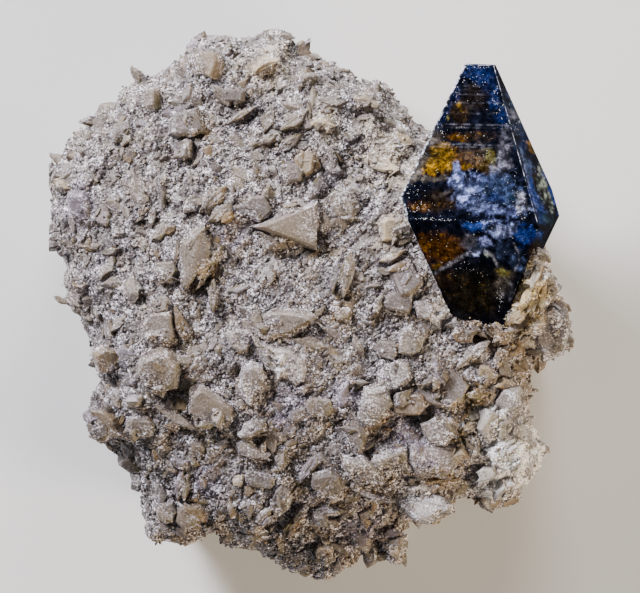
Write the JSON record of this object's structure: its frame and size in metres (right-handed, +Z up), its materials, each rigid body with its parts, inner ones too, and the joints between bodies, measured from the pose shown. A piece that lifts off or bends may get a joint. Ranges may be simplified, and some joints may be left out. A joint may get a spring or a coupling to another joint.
{
  "type": "anatase crystal on matrix",
  "caption": "Rough mineral specimen: a dark blue steep double-pyramid anatase crystal with a cut-off top, set at the edge of a small pale plate of bladed druse.",
  "frame": {"origin": "a point on the plate's broken flat back, close to the middle of its box seen from above", "axes": "+Z up, square to the flat back and out of the druse side; +Y towards the crystal's free, cut-off top; +X towards the side of the plate that holds the crystal"},
  "size_m": [0.0265, 0.0278, 0.0129],
  "materials": {
    "matrix": "sugary greyish-beige bladed rock with ochre-brown stain in its crevices and on the sides that face right and down, dull with small glints",
    "anatase": "glossy to adamantine dark crystal: navy and royal blue with milky lavender clouds, an amber patch and brown-black zones, fine growth lines across its faces"
  },
  "bodies": {
    "root": {"matrix": "matrix", "anatase": "anatase"}
  },
  "joints": []
}
